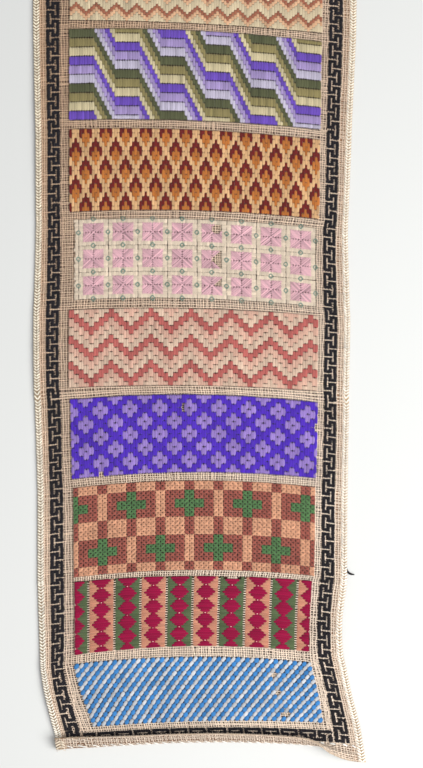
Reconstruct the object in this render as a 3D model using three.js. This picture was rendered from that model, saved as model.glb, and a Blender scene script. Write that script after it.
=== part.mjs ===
import * as THREE from "three";

// A band sampler worked in wool on open canvas, lying face up, made as one sheet.
// Sizes are in millimetres. Columns count canvas threads from the left edge, and rows
// count threads down from the top edge.

// Thickness of the sheet, measured from the canvas's own back
const CANVAS_THICK = 1.0;
const PLAIT_THICK = 1.7;
const KEY_THICK = 1.5;
const BAND_THICK = 1.9;
const HEM_LAYER = 0.8;

// Widths across the cloth, in threads
const PLAIT_WIDE = 2.7;
const PLAIN_WIDE = 2.3;
const KEY_WIDE = 4.6;
const LEFT_GAP = 3.9;
const RIGHT_GAP = 2.9;
const BAND_WIDE = 100;

const LEFT_KEY = PLAIT_WIDE + PLAIN_WIDE;
const BAND_LEFT = LEFT_KEY + KEY_WIDE + LEFT_GAP;
const BAND_RIGHT = BAND_LEFT + BAND_WIDE;
const BAND_MIDDLE = BAND_LEFT + BAND_WIDE / 2;
const RIGHT_KEY = BAND_RIGHT + RIGHT_GAP;
const CLOTH_WIDE = RIGHT_KEY + KEY_WIDE + PLAIN_WIDE + PLAIT_WIDE;

// Rows where the end hems and the end borders lie, and the worked bands between them
const TOP_HEM = 8;
const KEY_TALL = 5;
const TOP_KEY_END = TOP_HEM + KEY_TALL;
const FOOT_KEY = 375;
const FOOT_HEM = FOOT_KEY + KEY_TALL;
const FOOT_EDGE = FOOT_HEM + 8;
const HEM_ROW_PITCH = 1.31;
const BANDS = [
  { pattern: "zigzag", top: 17, bottom: 57 },
  { pattern: "steps", top: 61, bottom: 101 },
  { pattern: "flames", top: 105, bottom: 141 },
  { pattern: "squares", top: 145, bottom: 181 },
  { pattern: "chevron", top: 185, bottom: 221 },
  { pattern: "lattice", top: 225, bottom: 261 },
  { pattern: "crosses", top: 265, bottom: 305 },
  { pattern: "diamonds", top: 308, bottom: 338 },
  { pattern: "checks", top: 343, bottom: 371 },
];

// How the cloth lies down its length: for a row of threads, how far down its middle is, and
// how much lower the bands' left and right ends hang
const LIE = [
  { row: 0, down: 0.0, leftDrop: -0.6, rightDrop: 3.2 },
  { row: 17, down: 22.3, leftDrop: -1.7, rightDrop: 5.2 },
  { row: 57, down: 74.5, leftDrop: -2.0, rightDrop: 5.5 },
  { row: 61, down: 78.6, leftDrop: -0.9, rightDrop: 6.4 },
  { row: 101, down: 130.8, leftDrop: -0.3, rightDrop: 5.2 },
  { row: 105, down: 136.0, leftDrop: -0.3, rightDrop: 5.8 },
  { row: 141, down: 182.8, leftDrop: 1.0, rightDrop: 5.1 },
  { row: 145, down: 187.9, leftDrop: 0.5, rightDrop: 5.2 },
  { row: 181, down: 233.7, leftDrop: 0.9, rightDrop: 4.9 },
  { row: 185, down: 239.5, leftDrop: 0.9, rightDrop: 4.1 },
  { row: 221, down: 284.2, leftDrop: 1.4, rightDrop: 3.2 },
  { row: 225, down: 289.4, leftDrop: 2.9, rightDrop: 4.6 },
  { row: 261, down: 334.4, leftDrop: 4.1, rightDrop: 3.5 },
  { row: 265, down: 339.3, leftDrop: 4.4, rightDrop: 3.8 },
  { row: 305, down: 390.9, leftDrop: 4.4, rightDrop: 3.5 },
  { row: 308, down: 394.7, leftDrop: 3.5, rightDrop: 2.9 },
  { row: 323, down: 415.0, leftDrop: 4.1, rightDrop: 2.9 },
  { row: 338, down: 435.0, leftDrop: 5.2, rightDrop: 3.2 },
  { row: 343, down: 441.4, leftDrop: 4.4, rightDrop: 3.2 },
  { row: 355, down: 457.4, leftDrop: 3.4, rightDrop: 2.3 },
  { row: 371, down: 478.4, leftDrop: 3.4, rightDrop: 0.9 },
  { row: 375, down: 482.6, leftDrop: 2.9, rightDrop: 1.5 },
  { row: 380, down: 488.0, leftDrop: 3.1, rightDrop: 2.2 },
];

// How it lies across: for the same rows, where the side edges and the bands' ends are, to the
// left and right of the centre line
const SIDES = [
  { row: 0, left: -95.6, bandLeft: -74.2, bandRight: 72.2, right: 92.4 },
  { row: 17, left: -95.7, bandLeft: -74.2, bandRight: 72.2, right: 92.4 },
  { row: 57, left: -95.6, bandLeft: -74.2, bandRight: 71.9, right: 91.6 },
  { row: 61, left: -95.5, bandLeft: -74.4, bandRight: 71.7, right: 91.4 },
  { row: 101, left: -94.3, bandLeft: -74.6, bandRight: 70.9, right: 89.0 },
  { row: 105, left: -94.1, bandLeft: -74.5, bandRight: 70.7, right: 88.9 },
  { row: 141, left: -94.0, bandLeft: -74.4, bandRight: 70.1, right: 87.0 },
  { row: 145, left: -93.9, bandLeft: -74.2, bandRight: 68.9, right: 86.8 },
  { row: 181, left: -95.1, bandLeft: -74.2, bandRight: 68.9, right: 88.0 },
  { row: 185, left: -95.4, bandLeft: -74.7, bandRight: 69.6, right: 88.3 },
  { row: 221, left: -95.1, bandLeft: -74.8, bandRight: 69.0, right: 87.5 },
  { row: 225, left: -94.6, bandLeft: -74.0, bandRight: 69.4, right: 87.5 },
  { row: 261, left: -93.1, bandLeft: -72.9, bandRight: 68.3, right: 86.8 },
  { row: 265, left: -93.0, bandLeft: -72.4, bandRight: 68.0, right: 86.7 },
  { row: 305, left: -93.0, bandLeft: -71.9, bandRight: 67.3, right: 86.2 },
  { row: 308, left: -92.9, bandLeft: -71.8, bandRight: 66.3, right: 86.0 },
  { row: 323, left: -92.3, bandLeft: -71.7, bandRight: 65.1, right: 83.4 },
  { row: 338, left: -91.5, bandLeft: -71.7, bandRight: 64.7, right: 84.0 },
  { row: 343, left: -91.2, bandLeft: -71.9, bandRight: 65.3, right: 85.6 },
  { row: 355, left: -88.9, bandLeft: -68.2, bandRight: 69.0, right: 88.6 },
  { row: 371, left: -83.8, bandLeft: -60.8, bandRight: 72.5, right: 93.5 },
  { row: 375, left: -82.8, bandLeft: -59.8, bandRight: 73.3, right: 94.4 },
  { row: 380, left: -82.1, bandLeft: -58.8, bandRight: 74.0, right: 95.4 },
];
const CENTRE_DOWN = 250.63;
const CENTRE_ACROSS = 0.66;

// Where the side margins are pulled aside towards the foot: the column in the middle of the
// pull, the rows where it begins and is full, its reach, and how far it goes to the right
const PULLS = [
  { where: "left border", column: 7.3, fromRow: 320, fullRow: 375, reach: 6.3, move: -2.8 },
  { where: "right border", column: 118.7, fromRow: 300, fullRow: 350, reach: 5.2, move: 1.4 },
];

// Ripples where the cloth stands off the table: the crest's place, its reach and its height
const RIPPLES = [
  { where: "left edge, upper", column: 0, row: 100, reachAcross: 15, reachDown: 62, height: 1.0 },
  { where: "left edge, middle", column: 0, row: 202, reachAcross: 11, reachDown: 36, height: 0.8 },
  { where: "right edge, lower", column: 126, row: 318, reachAcross: 18, reachDown: 42, height: 3.0 },
  { where: "left edge, foot", column: 0, row: 355, reachAcross: 13, reachDown: 30, height: 1.2 },
  { where: "right corner, foot", column: 126, row: 388, reachAcross: 22, reachDown: 32, height: 2.6 },
];

// The foot hem is curled up over the face: how far it turns, and round what radius
const CURL = [
  { column: 0, turn: 162, radius: 1.6 },
  { column: 15, turn: 154, radius: 1.8 },
  { column: 30, turn: 149, radius: 2.0 },
  { column: 46, turn: 147, radius: 2.0 },
  { column: 70, turn: 146, radius: 2.0 },
  { column: 92, turn: 140, radius: 2.1 },
  { column: 104, turn: 134, radius: 2.2 },
  { column: 110, turn: 110, radius: 2.4 },
  { column: 115, turn: 64, radius: 2.8 },
  { column: 119, turn: 30, radius: 3.0 },
  { column: 123, turn: 14, radius: 3.0 },
  { column: 126, turn: 8, radius: 3.0 },
];

// A smooth curve through one column of a table
function through(table, along, value, at) {
  const last = table.length - 1;
  const slope = (k) => {
    const before = table[Math.max(k - 1, 0)];
    const after = table[Math.min(k + 1, last)];
    return (after[value] - before[value]) / (after[along] - before[along]);
  };
  let k = 0;
  while (k < last - 1 && at > table[k + 1][along]) {
    k += 1;
  }
  const from = table[k];
  const to = table[k + 1];
  const span = to[along] - from[along];
  const u = THREE.MathUtils.clamp((at - from[along]) / span, 0, 1);
  const rise = u * u * (3 - 2 * u);
  const lead = u * (1 - u) * (1 - u) * span * slope(k);
  const trail = u * u * (1 - u) * span * slope(k + 1);
  return from[value] + (to[value] - from[value]) * rise + lead - trail;
}

// One at the crest of a ripple, falling smoothly to nothing at its reach
function swell(away) {
  return Math.abs(away) < 1 ? (1 + Math.cos(Math.PI * away)) / 2 : 0;
}

function lift(column, row) {
  let height = 0;
  for (const ripple of RIPPLES) {
    const across = swell((column - ripple.column) / ripple.reachAcross);
    height += ripple.height * across * swell((row - ripple.row) / ripple.reachDown);
  }
  return height;
}

function pulled(column, row) {
  let across = 0;
  for (const pull of PULLS) {
    const share = THREE.MathUtils.smoothstep(row, pull.fromRow, pull.fullRow);
    across += pull.move * share * swell((column - pull.column) / pull.reach);
  }
  return across;
}

// How far a crossing of threads is from the centre line, evenly spaced within the bands and
// within each side margin before the margins are pulled
function spread(column, row) {
  const at = (value) => through(SIDES, "row", value, row);
  if (column < BAND_LEFT) {
    return THREE.MathUtils.lerp(at("left"), at("bandLeft"), column / BAND_LEFT);
  }
  if (column > BAND_RIGHT) {
    const share = (column - BAND_RIGHT) / (CLOTH_WIDE - BAND_RIGHT);
    return THREE.MathUtils.lerp(at("bandRight"), at("right"), share);
  }
  return THREE.MathUtils.lerp(at("bandLeft"), at("bandRight"), (column - BAND_LEFT) / BAND_WIDE);
}

// Where a crossing of threads lies on the table, before the foot hem curls
function laid(column, row) {
  const leftDrop = through(LIE, "row", "leftDrop", row);
  const rightDrop = through(LIE, "row", "rightDrop", row);
  const s = (column - BAND_MIDDLE) / (BAND_WIDE / 2);
  const tilt = (rightDrop - leftDrop) / 2;
  const bow = (rightDrop + leftDrop) / 2;
  const down = through(LIE, "row", "down", row) + tilt * s + bow * s * s;
  const across = spread(column, row) + pulled(column, row) - CENTRE_ACROSS;
  return new THREE.Vector3(across, CENTRE_DOWN - down, lift(column, row));
}

// Share of the turned-under hem layer at a row, which comes in over one thread
function hemShare(row) {
  const top = THREE.MathUtils.smoothstep(TOP_HEM - row, 0, 1);
  const foot = THREE.MathUtils.smoothstep(row - FOOT_HEM, 0, 1);
  return Math.max(top, foot);
}

// The canvas's back at a crossing, and the way its face looks there
function canvasBack(column, row) {
  const up = new THREE.Vector3(0, 0, 1);
  const flatRow = Math.min(row, FOOT_HEM);
  const place = laid(column, flatRow);
  place.z += HEM_LAYER * hemShare(row);
  if (row <= FOOT_HEM) {
    return { place, facing: up };
  }
  const outward = laid(column, FOOT_HEM).sub(laid(column, FOOT_KEY));
  outward.z = 0;
  outward.normalize();
  const turn = THREE.MathUtils.degToRad(through(CURL, "column", "turn", column));
  const radius = through(CURL, "column", "radius", column);
  const length = (row - FOOT_HEM) * HEM_ROW_PITCH;
  const bent = Math.min(length / radius, turn);
  const straight = length - bent * radius;
  const forward = radius * Math.sin(bent) + straight * Math.cos(bent);
  const rise = radius * (1 - Math.cos(bent)) + straight * Math.sin(bent);
  place.addScaledVector(outward, forward).addScaledVector(up, rise);
  const facing = up.clone().multiplyScalar(Math.cos(bent));
  facing.addScaledVector(outward, -Math.sin(bent));
  return { place, facing };
}

function between(value, low, high) {
  return value > low && value < high;
}

// Thickness of the cloth with its stitching
function thickness(column, row) {
  if (!between(row, TOP_HEM, FOOT_HEM)) {
    return CANVAS_THICK;
  }
  const fromEdge = Math.min(column, CLOTH_WIDE - column);
  if (fromEdge < PLAIT_WIDE) {
    return THREE.MathUtils.lerp(CANVAS_THICK, PLAIT_THICK, fromEdge > 0 ? 1 : 0.4);
  }
  const inBands = between(column, BAND_LEFT, BAND_RIGHT);
  if (inBands && BANDS.some((band) => between(row, band.top, band.bottom))) {
    return BAND_THICK;
  }
  const inLeftKey = between(column, LEFT_KEY, LEFT_KEY + KEY_WIDE);
  const inRightKey = between(column, RIGHT_KEY, RIGHT_KEY + KEY_WIDE);
  const inEndKey = between(column, LEFT_KEY, RIGHT_KEY + KEY_WIDE)
    && (row < TOP_KEY_END || row > FOOT_KEY);
  return inLeftKey || inRightKey || inEndKey ? KEY_THICK : CANVAS_THICK;
}

// A line just before and just after an edge, so that the edge stands up steeply
const STEP = 0.25;
function bothSides(edge) {
  return [edge - STEP, edge + STEP];
}

function evenSteps(from, to, count) {
  return Array.from({ length: count - 1 }, (_, k) => from + ((to - from) * (k + 1)) / count);
}

const columns = [
  0,
  PLAIT_WIDE / 2,
  PLAIT_WIDE,
  ...bothSides(LEFT_KEY),
  ...bothSides(LEFT_KEY + KEY_WIDE),
  ...bothSides(BAND_LEFT),
  ...evenSteps(BAND_LEFT, BAND_RIGHT, 10),
  ...bothSides(BAND_RIGHT),
  ...bothSides(RIGHT_KEY),
  ...bothSides(RIGHT_KEY + KEY_WIDE),
  CLOTH_WIDE - PLAIT_WIDE,
  CLOTH_WIDE - PLAIT_WIDE / 2,
  CLOTH_WIDE,
];

const rows = [
  0,
  TOP_HEM / 2,
  TOP_HEM - 1,
  ...bothSides(TOP_HEM),
  ...bothSides(TOP_KEY_END),
  ...BANDS.flatMap((band) => [
    ...bothSides(band.top),
    ...evenSteps(band.top, band.bottom, 3),
    ...bothSides(band.bottom),
  ]),
  ...bothSides(FOOT_KEY),
  FOOT_HEM - STEP,
  ...evenSteps(FOOT_HEM, FOOT_HEM + 4.2, 9),
  FOOT_HEM + 4.2,
  FOOT_HEM + 6,
  FOOT_EDGE,
];

// A finely divided slab, each of its points moved to its place on the cloth
const sheet = new THREE.BoxGeometry(1, 1, 1, columns.length - 1, rows.length - 1, 1);
const points = sheet.getAttribute("position");
for (let n = 0; n < points.count; n += 1) {
  const column = columns[Math.round((points.getX(n) + 0.5) * (columns.length - 1))];
  const row = rows[Math.round((0.5 - points.getY(n)) * (rows.length - 1))];
  const { place, facing } = canvasBack(column, row);
  const isFace = points.getZ(n) > 0;
  const offset = isFace ? thickness(column, row) : -HEM_LAYER * hemShare(row);
  place.addScaledVector(facing, offset);
  points.setXYZ(n, place.x, place.y, place.z);
}
sheet.computeVertexNormals();

const canvas = new THREE.Mesh(
  sheet,
  new THREE.MeshStandardMaterial({ color: 0xc4aa92, roughness: 0.9, metalness: 0 }),
);
canvas.name = "canvas";

const sampler = new THREE.Group();
sampler.name = "needlework_sampler";
sampler.add(canvas);

export default sampler;
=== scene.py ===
import bmesh
import bpy
import numpy as np
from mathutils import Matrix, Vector


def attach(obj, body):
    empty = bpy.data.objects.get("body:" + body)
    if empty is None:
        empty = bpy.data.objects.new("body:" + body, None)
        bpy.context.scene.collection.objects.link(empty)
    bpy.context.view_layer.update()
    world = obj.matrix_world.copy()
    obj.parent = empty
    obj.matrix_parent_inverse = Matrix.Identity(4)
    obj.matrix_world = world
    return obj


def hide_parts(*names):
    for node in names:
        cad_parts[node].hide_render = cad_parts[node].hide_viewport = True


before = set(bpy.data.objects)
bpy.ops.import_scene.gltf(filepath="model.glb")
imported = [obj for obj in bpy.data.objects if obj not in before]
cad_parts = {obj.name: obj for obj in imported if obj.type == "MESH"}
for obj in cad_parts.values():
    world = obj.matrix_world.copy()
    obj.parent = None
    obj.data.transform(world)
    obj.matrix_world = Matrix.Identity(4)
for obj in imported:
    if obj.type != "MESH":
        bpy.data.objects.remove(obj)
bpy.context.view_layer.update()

# Table, camera and light: a plain pale table top, a camera straight above it, and soft light
# that comes mostly from the foot end and the right, over an even white surround.
scene = bpy.context.scene
scene.view_settings.view_transform = "Standard"

LENS = 85.0
VIEW_CENTRE = (0.0072, -0.0327)
VIEW_LENGTH = 0.4454
SENSOR = 36.0

camera = bpy.data.objects.new("camera", bpy.data.cameras.new("camera"))
camera.data.lens = LENS
camera.data.sensor_width = SENSOR
camera.location = (*VIEW_CENTRE, VIEW_LENGTH * LENS / SENSOR)
scene.collection.objects.link(camera)
scene.camera = camera


def soft_light(name, place, aim, size, power, colour):
    lamp = bpy.data.lights.new(name, "AREA")
    lamp.shape = "DISK"
    lamp.size = size
    lamp.energy = power
    lamp.color = colour
    light = bpy.data.objects.new(name, lamp)
    light.location = place
    light.rotation_euler = (Vector(aim) - Vector(place)).to_track_quat("-Z", "Y").to_euler()
    scene.collection.objects.link(light)


soft_light("window", (0.72, -0.42, 0.92), (0.05, -0.08, 0.0), 1.0, 17.0, (1.0, 0.99, 0.97))
soft_light("overhead", (0.1, -0.2, 1.5), (0.0, -0.05, 0.0), 1.2, 7.0, (1.0, 1.0, 1.0))

world = bpy.data.worlds.new("surround")
world.use_nodes = True
world.node_tree.nodes["Background"].inputs["Color"].default_value = (0.97, 0.98, 1.0, 1.0)
world.node_tree.nodes["Background"].inputs["Strength"].default_value = 0.27
scene.world = world

TABLE_HALF = 3.0
TABLE_DROP = -0.0004

bm = bmesh.new()
bmesh.ops.create_grid(bm, x_segments=4, y_segments=4, size=TABLE_HALF)
bmesh.ops.translate(bm, verts=bm.verts, vec=(0.0, 0.0, TABLE_DROP))
table_mesh = bpy.data.meshes.new("table_top")
bm.to_mesh(table_mesh)
bm.free()
table_top = bpy.data.objects.new("table_top", table_mesh)
scene.collection.objects.link(table_top)
table_paint = bpy.data.materials.new("pale table")
table_paint.use_nodes = True
table_shader = table_paint.node_tree.nodes["Principled BSDF"]
table_shader.inputs["Base Color"].default_value = (0.70, 0.71, 0.70, 1.0)
table_shader.inputs["Roughness"].default_value = 0.7
table_mesh.materials.append(table_paint)

# Canvas: one strip of open even-weave cotton with a hem at each end, lying on the table with
# its foot hem curled over the face. Columns and rows count its threads, as in the solids, and
# heights are in millimetres above the canvas's own back.
MM = 0.001
PLAIT_WIDE = 2.4
LEFT_KEY = 5.0
KEY_WIDE = 4.6
BAND_LEFT = 13.5
BAND_WIDE = 100
BAND_RIGHT = BAND_LEFT + BAND_WIDE
BAND_MIDDLE = BAND_LEFT + BAND_WIDE / 2
RIGHT_KEY = BAND_RIGHT + 2.9
CLOTH_WIDE = 126
TOP_HEM = 8
FOOT_KEY = 375
FOOT_HEM = 380
FOOT_EDGE = 388
HEM_ROW_PITCH = 1.31
HEM_LAYER = 0.8
BANDS = {
    "zigzag": (17, 57),
    "steps": (61, 101),
    "flames": (105, 141),
    "squares": (145, 181),
    "chevron": (185, 221),
    "lattice": (225, 261),
    "crosses": (265, 305),
    "diamonds": (308, 338),
    "checks": (343, 371),
}


def named(columns, rows):
    """A table whose columns have names."""
    return np.array(rows, dtype=[(name, float) for name in columns.split()])


# For a row: how far down its middle lies, and how much lower the bands' left and right ends hang
LIE = named(
    "row down left_drop right_drop",
    [
        (0, 0.0, -0.6, 3.2),
        (17, 22.3, -1.7, 5.2),
        (57, 74.5, -2.0, 5.5),
        (61, 78.6, -0.9, 6.4),
        (101, 130.8, -0.3, 5.2),
        (105, 136.0, -0.3, 5.8),
        (141, 182.8, 1.0, 5.1),
        (145, 187.9, 0.5, 5.2),
        (181, 233.7, 0.9, 4.9),
        (185, 239.5, 0.9, 4.1),
        (221, 284.2, 1.4, 3.2),
        (225, 289.4, 2.9, 4.6),
        (261, 334.4, 4.1, 3.5),
        (265, 339.3, 4.4, 3.8),
        (305, 390.9, 4.4, 3.5),
        (308, 394.7, 3.5, 2.9),
        (323, 415.0, 4.1, 2.9),
        (338, 435.0, 5.2, 3.2),
        (343, 441.4, 4.4, 3.2),
        (355, 457.4, 3.4, 2.3),
        (371, 478.4, 3.4, 0.9),
        (375, 482.6, 2.9, 1.5),
        (380, 488.0, 3.1, 2.2),
    ],
)

# For the same rows: the side edges and the bands' ends, to the left and right of the centre line
SIDES = named(
    "row left band_left band_right right",
    [
        (0, -95.6, -74.2, 72.2, 92.4),
        (17, -95.7, -74.2, 72.2, 92.4),
        (57, -95.6, -74.2, 71.9, 91.6),
        (61, -95.5, -74.4, 71.7, 91.4),
        (101, -94.3, -74.6, 70.9, 89.0),
        (105, -94.1, -74.5, 70.7, 88.9),
        (141, -94.0, -74.4, 70.1, 87.0),
        (145, -93.9, -74.2, 68.9, 86.8),
        (181, -95.1, -74.2, 68.9, 88.0),
        (185, -95.4, -74.7, 69.6, 88.3),
        (221, -95.1, -74.8, 69.0, 87.5),
        (225, -94.6, -74.0, 69.4, 87.5),
        (261, -93.1, -72.9, 68.3, 86.8),
        (265, -93.0, -72.4, 68.0, 86.7),
        (305, -93.0, -71.9, 67.3, 86.2),
        (308, -92.9, -71.8, 66.3, 86.0),
        (323, -92.3, -71.7, 65.1, 83.4),
        (338, -91.5, -71.7, 64.7, 84.0),
        (343, -91.2, -71.9, 65.3, 85.6),
        (355, -88.9, -68.2, 69.0, 88.6),
        (371, -83.8, -60.8, 72.5, 93.5),
        (375, -82.8, -59.8, 73.3, 94.4),
        (380, -82.1, -58.8, 74.0, 95.4),
    ],
)
CENTRE_DOWN = 250.63
CENTRE_ACROSS = 0.66

# Where the margins are pulled aside towards the foot: the column and row where the pull begins,
# its reach across, the row where it is full, and how far it goes to the right
PULLS = (
    (7.3, 320, 6.3, 375, -2.8),
    (118.7, 300, 5.2, 350, 1.4),
)

# Ripples: column and row of the crest, its reach across and down, and its height
RIPPLES = (
    (0, 100, 15, 62, 1.0),
    (0, 202, 11, 36, 0.8),
    (126, 318, 18, 42, 3.0),
    (0, 355, 13, 30, 1.2),
    (126, 388, 22, 32, 2.6),
)

# The foot hem's curl: the degrees that it turns, and the radius that it turns round
CURL = named(
    "column turn radius",
    [
        (0, 162, 1.6),
        (15, 154, 1.8),
        (30, 149, 2.0),
        (46, 147, 2.0),
        (70, 146, 2.0),
        (92, 140, 2.1),
        (104, 134, 2.2),
        (110, 110, 2.4),
        (115, 64, 2.8),
        (119, 30, 3.0),
        (123, 14, 3.0),
        (126, 8, 3.0),
    ],
)


def through(table, along, value, at):
    """A smooth curve through one column of a table."""
    xs = table[along]
    ys = table[value]
    slope = np.gradient(ys, xs)
    slope[1:-1] = (ys[2:] - ys[:-2]) / (xs[2:] - xs[:-2])
    at = np.clip(at, xs[0], xs[-1])
    k = np.clip(np.searchsorted(xs, at) - 1, 0, len(xs) - 2)
    span = xs[k + 1] - xs[k]
    u = (at - xs[k]) / span
    rise = u * u * (3 - 2 * u)
    lead = u * (1 - u) ** 2 * span * slope[k]
    trail = u * u * (1 - u) * span * slope[k + 1]
    return ys[k] + (ys[k + 1] - ys[k]) * rise + lead - trail


def swell(away):
    return np.where(np.abs(away) < 1, (1 + np.cos(np.pi * away)) / 2, 0.0)


def smooth(value):
    value = np.clip(value, 0, 1)
    return value * value * (3 - 2 * value)


def spread(column, row):
    """How far across a crossing of threads is, evenly spaced within the bands and each margin."""
    places = SIDES.dtype.names[1:]
    left, band_left, band_right, right = (through(SIDES, "row", place, row) for place in places)
    in_left = np.clip(column / BAND_LEFT, 0, 1)
    in_bands = np.clip((column - BAND_LEFT) / BAND_WIDE, 0, 1)
    in_right = np.clip((column - BAND_RIGHT) / (CLOTH_WIDE - BAND_RIGHT), 0, 1)
    across = left + (band_left - left) * in_left + (band_right - band_left) * in_bands
    across = across + (right - band_right) * in_right
    for middle, first_row, reach, full_row, move in PULLS:
        share = smooth((row - first_row) / (full_row - first_row))
        across = across + move * swell((column - middle) / reach) * share
    return across


def laid(column, row):
    """Where a crossing of threads lies on the table before the foot hem curls."""
    left_drop = through(LIE, "row", "left_drop", row)
    right_drop = through(LIE, "row", "right_drop", row)
    s = (column - BAND_MIDDLE) / (BAND_WIDE / 2)
    tilt = (right_drop - left_drop) / 2
    bow = (right_drop + left_drop) / 2
    down = through(LIE, "row", "down", row) + tilt * s + bow * s * s
    across = spread(column, row)
    lift = np.zeros_like(across)
    for crest, crest_row, reach_across, reach_down, height in RIPPLES:
        part = swell((column - crest) / reach_across) * swell((row - crest_row) / reach_down)
        lift = lift + height * part
    return np.stack([across - CENTRE_ACROSS, CENTRE_DOWN - down, lift], axis=-1)


def hem_share(row):
    return np.maximum(smooth(TOP_HEM - row), smooth(row - FOOT_HEM))


def cloth(column, row):
    """The canvas's back at each crossing, and the way that its face looks there."""
    column, row = np.broadcast_arrays(np.asarray(column, float), np.asarray(row, float))
    place = laid(column, np.minimum(row, FOOT_HEM))
    place[..., 2] += HEM_LAYER * hem_share(row)
    outward = laid(column, np.full_like(row, FOOT_HEM)) - laid(column, np.full_like(row, FOOT_KEY))
    outward[..., 2] = 0
    outward /= np.linalg.norm(outward, axis=-1, keepdims=True)
    turn = np.radians(through(CURL, "column", "turn", column))
    radius = through(CURL, "column", "radius", column)
    length = np.maximum(row - FOOT_HEM, 0) * HEM_ROW_PITCH
    bent = np.minimum(length / radius, turn)
    straight = length - bent * radius
    forward = radius * np.sin(bent) + straight * np.cos(bent)
    rise = radius * (1 - np.cos(bent)) + straight * np.sin(bent)
    place = place + outward * forward[..., None]
    place[..., 2] += rise
    facing = -outward * np.sin(bent)[..., None]
    facing[..., 2] += np.cos(bent)
    return place, facing


def on_cloth(column, row, height):
    place, facing = cloth(column, row)
    return (place + facing * np.asarray(height, float)[..., None]) * MM


def srgb(red, green, blue):
    """A colour as read off a screen, from 0 to 255, as the linear values that shaders take."""
    value = np.array([red, green, blue]) / 255
    linear = np.where(value <= 0.04045, value / 12.92, ((value + 0.055) / 1.055) ** 2.4)
    return (*[float(v) for v in linear], 1.0)


def link(tree, *joins):
    for source, target in joins:
        tree.links.new(source, target)


def sums(tree, operation, *values):
    """A sum worked out over the surface, from numbers and other nodes' outputs."""
    node = tree.nodes.new("ShaderNodeMath")
    node.operation = operation
    for socket, value in zip(node.inputs, values):
        if isinstance(value, (int, float)):
            socket.default_value = value
        else:
            tree.links.new(value, socket)
    return node.outputs["Value"]


def past(tree, value, start, way):
    """How far a value is past its start, from none to one over a way."""
    node = tree.nodes.new("ShaderNodeMapRange")
    node.inputs["From Min"].default_value = start
    node.inputs["From Max"].default_value = start + way
    tree.links.new(value, node.inputs["Value"])
    return node.outputs["Result"]


def mixed(tree, factor, first, second):
    """One of two colours, or a blend of them, by a factor."""
    mix = tree.nodes.new("ShaderNodeMix")
    mix.data_type = "RGBA"
    tree.links.new(factor, mix.inputs["Factor"])
    for socket, colour in (("A", first), ("B", second)):
        if isinstance(colour, tuple):
            mix.inputs[socket].default_value = srgb(*colour)
        else:
            tree.links.new(colour, mix.inputs[socket])
    return mix.outputs["Result"]


def strand_group():
    """Twisted fibres along a yarn: paints shade into the grooves between its plies, varies its colour
    by fibre, stitch and fading, and raises its plies. The strand map runs along and across each yarn in
    millimetres."""
    group = bpy.data.node_groups.new("Yarn strand", "ShaderNodeTree")
    face = group.interface
    face.new_socket("Colour", in_out="INPUT", socket_type="NodeSocketColor")
    face.new_socket("Plies per mm", in_out="INPUT", socket_type="NodeSocketFloat")
    face.new_socket("Unevenness", in_out="INPUT", socket_type="NodeSocketFloat")
    face.new_socket("Colour", in_out="OUTPUT", socket_type="NodeSocketColor")
    face.new_socket("Normal", in_out="OUTPUT", socket_type="NodeSocketVector")
    new = group.nodes.new
    given = new("NodeGroupInput")
    result = new("NodeGroupOutput")

    strand = new("ShaderNodeUVMap")
    strand.uv_map = "strand"
    split = new("ShaderNodeSeparateXYZ")
    link(group, (strand.outputs["UV"], split.inputs["Vector"]))

    twist = sums(group, "ADD", split.outputs["X"], split.outputs["Y"])
    phase = sums(group, "MULTIPLY", twist, given.outputs["Plies per mm"])
    ply = sums(group, "ABSOLUTE", sums(group, "SINE", phase))

    stretch = new("ShaderNodeVectorMath")
    stretch.operation = "MULTIPLY"
    stretch.inputs[1].default_value = (1.1, 9.0, 1.0)
    fibre = new("ShaderNodeTexNoise")
    fibre.inputs["Scale"].default_value = 1.0
    fibre.inputs["Detail"].default_value = 3.0
    link(
        group,
        (strand.outputs["UV"], stretch.inputs[0]),
        (stretch.outputs["Vector"], fibre.inputs["Vector"]),
    )

    tone = new("ShaderNodeAttribute")
    tone.attribute_name = "tone"
    where = new("ShaderNodeTexCoord")
    fade = new("ShaderNodeTexNoise")
    fade.inputs["Scale"].default_value = 55.0
    fade.inputs["Detail"].default_value = 2.0
    link(group, (where.outputs["Object"], fade.inputs["Vector"]))

    # Painted shade: the colour is darker in the grooves between the plies. The fibre streaks, each
    # stitch's dye lot and the slow fading are the yarn's own.
    shade = sums(group, "MULTIPLY_ADD", ply, 0.16, 0.86)
    streak = sums(group, "MULTIPLY_ADD", fibre.outputs["Fac"], 0.5, 0.75)
    lot = sums(group, "MULTIPLY_ADD", tone.outputs["Fac"], given.outputs["Unevenness"], 1.0)
    worn = sums(group, "MULTIPLY_ADD", fade.outputs["Fac"], 0.36, 0.82)
    light = sums(group, "MULTIPLY", sums(group, "MULTIPLY", shade, streak), lot)
    light = sums(group, "MULTIPLY", light, worn)

    dyed = new("ShaderNodeVectorMath")
    dyed.operation = "SCALE"
    link(
        group,
        (given.outputs["Colour"], dyed.inputs[0]),
        (light, dyed.inputs["Scale"]),
        (dyed.outputs["Vector"], result.inputs["Colour"]),
    )
    fibre_rise = sums(group, "MULTIPLY", fibre.outputs["Fac"], 0.7)
    relief = sums(group, "MULTIPLY_ADD", ply, 0.6, fibre_rise)
    bump = new("ShaderNodeBump")
    bump.inputs["Strength"].default_value = 0.6
    bump.inputs["Distance"].default_value = 0.00022
    link(group, (relief, bump.inputs["Height"]), (bump.outputs["Normal"], result.inputs["Normal"]))
    return group


STRAND = strand_group()


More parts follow.
